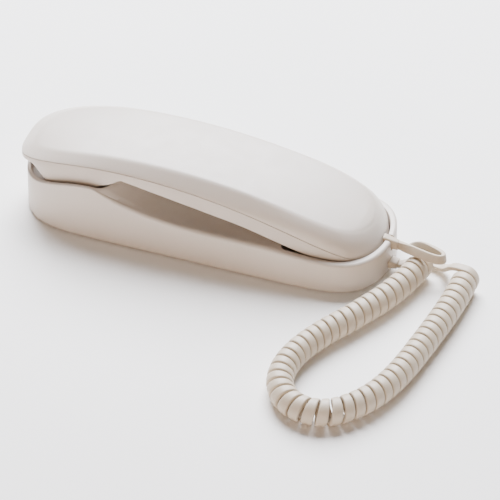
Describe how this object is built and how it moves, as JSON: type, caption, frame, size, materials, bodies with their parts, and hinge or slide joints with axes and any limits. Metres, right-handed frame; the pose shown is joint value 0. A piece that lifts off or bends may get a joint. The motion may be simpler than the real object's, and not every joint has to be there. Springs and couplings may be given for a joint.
{
  "type": "wall telephone",
  "caption": "Slimline wall telephone lying on its back: long cradle with a finger scoop, arched handset with a keypad inside, and a looped curly cord.",
  "frame": {"origin": "on the surface that the telephone lies on, below the middle of the cradle and handset together", "axes": "+X along the telephone towards its mouth and cord end, +Z out of the wall or table, +Y to the side with the line socket"},
  "size_m": [0.2505, 0.1707, 0.051],
  "materials": {
    "shell_plastic": "satin moulded plastic",
    "key_plastic": "satin moulded plastic",
    "cord_sheath": "soft satin vinyl",
    "grey_rubber": "matt",
    "steel": "bright zinc plated",
    "circuit_board": "satin lacquer",
    "black_plastic": "satin",
    "gold_contact": "plated",
    "can": "drawn"
  },
  "bodies": {
    "cradle": {"cradle_shell": "shell_plastic", "back_plate": "shell_plastic", "rubber_feet": "grey_rubber", "cradle_screws": "steel", "base_board": "circuit_board", "ringer_sounder": "black_plastic", "hook_spring": "steel", "hook_switch": "black_plastic", "line_jack": "black_plastic", "line_contacts": "gold_contact", "ringer_switch": "black_plastic", "cradle_relief": "cord_sheath", "cord_handset_lead": "cord_sheath", "cord_curls": "cord_sheath", "cord_cradle_lead": "cord_sheath"},
    "handset": {"handset_back_shell": "shell_plastic", "handset_front_shell": "shell_plastic", "handset_screws": "steel", "handset_board": "circuit_board", "keypad_membrane": "grey_rubber", "receiver_capsule": "black_plastic", "receiver_gasket": "grey_rubber", "microphone": "can", "mic_boot": "grey_rubber", "handset_relief": "cord_sheath"},
    "hook_plunger": {"hook_plunger": "key_plastic"},
    "ringer_knob": {"ringer_knob": "key_plastic"},
    "key_1": {"key_1": "key_plastic"},
    "key_2": {"key_2": "key_plastic"},
    "key_3": {"key_3": "key_plastic"},
    "key_4": {"key_4": "key_plastic"},
    "key_5": {"key_5": "key_plastic"},
    "key_6": {"key_6": "key_plastic"},
    "key_7": {"key_7": "key_plastic"},
    "key_8": {"key_8": "key_plastic"},
    "key_9": {"key_9": "key_plastic"},
    "key_star": {"key_star": "key_plastic"},
    "key_0": {"key_0": "key_plastic"},
    "key_hash": {"key_hash": "key_plastic"},
    "key_flash": {"key_flash": "key_plastic"},
    "key_redial": {"key_redial": "key_plastic"},
    "key_mute": {"key_mute": "key_plastic"}
  },
  "joints": [
    {"name": "handset_lift", "type": "slide", "parent": "cradle", "child": "handset", "axis": [0, 0, 1], "range_m": [0, 0.06]},
    {"name": "hook_plunger_slide", "type": "slide", "parent": "cradle", "child": "hook_plunger", "axis": [0, 0, 1], "range_m": [0, 0.004], "deforming": ["hook_spring"]},
    {"name": "ringer_knob_slide", "type": "slide", "parent": "cradle", "child": "ringer_knob", "axis": [1, 0, 0], "range_m": [-0.002, 0.002]},
    {"name": "key_1_press", "type": "slide", "parent": "handset", "child": "key_1", "axis": [0.1668, 0, 0.986], "range_m": [0, 0.0012], "stiffness_N_per_m": 600, "springref_m": -0.0003},
    {"name": "key_2_press", "type": "slide", "parent": "handset", "child": "key_2", "axis": [0.1668, 0, 0.986], "range_m": [0, 0.0012], "stiffness_N_per_m": 600, "springref_m": -0.0003},
    {"name": "key_3_press", "type": "slide", "parent": "handset", "child": "key_3", "axis": [0.1668, 0, 0.986], "range_m": [0, 0.0012], "stiffness_N_per_m": 600, "springref_m": -0.0003},
    {"name": "key_4_press", "type": "slide", "parent": "handset", "child": "key_4", "axis": [0.1668, 0, 0.986], "range_m": [0, 0.0012], "stiffness_N_per_m": 600, "springref_m": -0.0003},
    {"name": "key_5_press", "type": "slide", "parent": "handset", "child": "key_5", "axis": [0.1668, 0, 0.986], "range_m": [0, 0.0012], "stiffness_N_per_m": 600, "springref_m": -0.0003},
    {"name": "key_6_press", "type": "slide", "parent": "handset", "child": "key_6", "axis": [0.1668, 0, 0.986], "range_m": [0, 0.0012], "stiffness_N_per_m": 600, "springref_m": -0.0003},
    {"name": "key_7_press", "type": "slide", "parent": "handset", "child": "key_7", "axis": [0.1668, 0, 0.986], "range_m": [0, 0.0012], "stiffness_N_per_m": 600, "springref_m": -0.0003},
    {"name": "key_8_press", "type": "slide", "parent": "handset", "child": "key_8", "axis": [0.1668, 0, 0.986], "range_m": [0, 0.0012], "stiffness_N_per_m": 600, "springref_m": -0.0003},
    {"name": "key_9_press", "type": "slide", "parent": "handset", "child": "key_9", "axis": [0.1668, 0, 0.986], "range_m": [0, 0.0012], "stiffness_N_per_m": 600, "springref_m": -0.0003},
    {"name": "key_star_press", "type": "slide", "parent": "handset", "child": "key_star", "axis": [0.1668, 0, 0.986], "range_m": [0, 0.0012], "stiffness_N_per_m": 600, "springref_m": -0.0003},
    {"name": "key_0_press", "type": "slide", "parent": "handset", "child": "key_0", "axis": [0.1668, 0, 0.986], "range_m": [0, 0.0012], "stiffness_N_per_m": 600, "springref_m": -0.0003},
    {"name": "key_hash_press", "type": "slide", "parent": "handset", "child": "key_hash", "axis": [0.1668, 0, 0.986], "range_m": [0, 0.0012], "stiffness_N_per_m": 600, "springref_m": -0.0003},
    {"name": "key_flash_press", "type": "slide", "parent": "handset", "child": "key_flash", "axis": [0.1668, 0, 0.986], "range_m": [0, 0.0012], "stiffness_N_per_m": 600, "springref_m": -0.0003},
    {"name": "key_redial_press", "type": "slide", "parent": "handset", "child": "key_redial", "axis": [0.1668, 0, 0.986], "range_m": [0, 0.0012], "stiffness_N_per_m": 600, "springref_m": -0.0003},
    {"name": "key_mute_press", "type": "slide", "parent": "handset", "child": "key_mute", "axis": [0.1668, 0, 0.986], "range_m": [0, 0.0012], "stiffness_N_per_m": 600, "springref_m": -0.0003}
  ],
  "couplings": [
    {"joint": "hook_plunger_slide", "follows": "handset_lift", "ratio": 0.066667}
  ]
}
